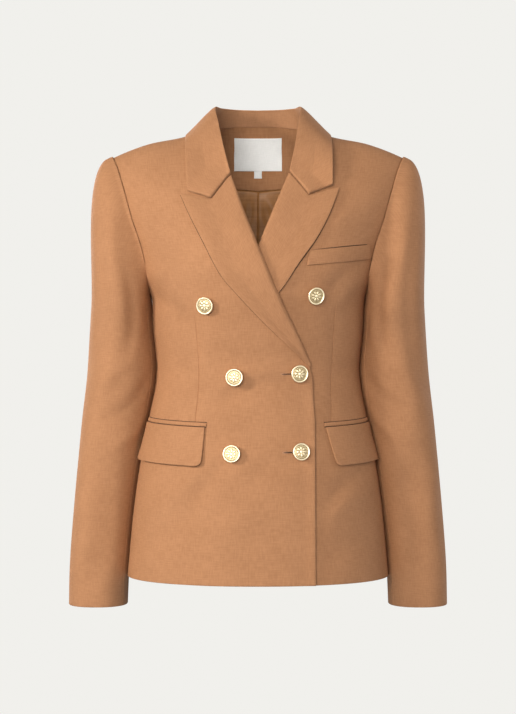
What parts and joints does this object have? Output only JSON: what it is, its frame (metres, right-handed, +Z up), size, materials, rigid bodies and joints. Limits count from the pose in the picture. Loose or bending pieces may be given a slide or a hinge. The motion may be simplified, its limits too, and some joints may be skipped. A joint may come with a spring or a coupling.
{
  "type": "double breasted blazer",
  "caption": "Fitted jacket in its hollow worn form, with peak lapels, lapped double-breasted fronts, flap pockets, breast welt and long tailored sleeves.",
  "frame": {"origin": "middle of the neck, at the height where the collar meets the shoulders", "axes": "+Z up along the back, +X to the wearer's left, -Y the way the front faces"},
  "size_m": [0.5226, 0.2535, 0.6906],
  "materials": {
    "shell_cloth": "matte fine wool twill in camel",
    "lining_satin": "smooth golden brown satin",
    "woven_label": "fine white damask, blank",
    "button_metal": "polished pale gold with darkened hollows"
  },
  "bodies": {
    "root": {"front_right": "shell_cloth", "front_left": "shell_cloth", "back_right": "shell_cloth", "back_left": "shell_cloth", "sleeve_right_top": "shell_cloth", "sleeve_right_under": "shell_cloth", "sleeve_left_top": "shell_cloth", "sleeve_left_under": "shell_cloth", "collar_fall": "shell_cloth", "collar_stand": "shell_cloth", "lapel_right": "shell_cloth", "lapel_left": "shell_cloth", "flap_right": "shell_cloth", "flap_left": "shell_cloth", "jetting_right": "shell_cloth", "jetting_left": "shell_cloth", "breast_welt": "shell_cloth", "back_neck_facing": "shell_cloth", "lining_back_right": "lining_satin", "lining_back_left": "lining_satin", "label": "woven_label", "size_tab": "woven_label", "button_1": "button_metal", "button_2": "button_metal", "button_3": "button_metal", "button_4": "button_metal", "button_5": "button_metal", "button_6": "button_metal"}
  },
  "joints": []
}
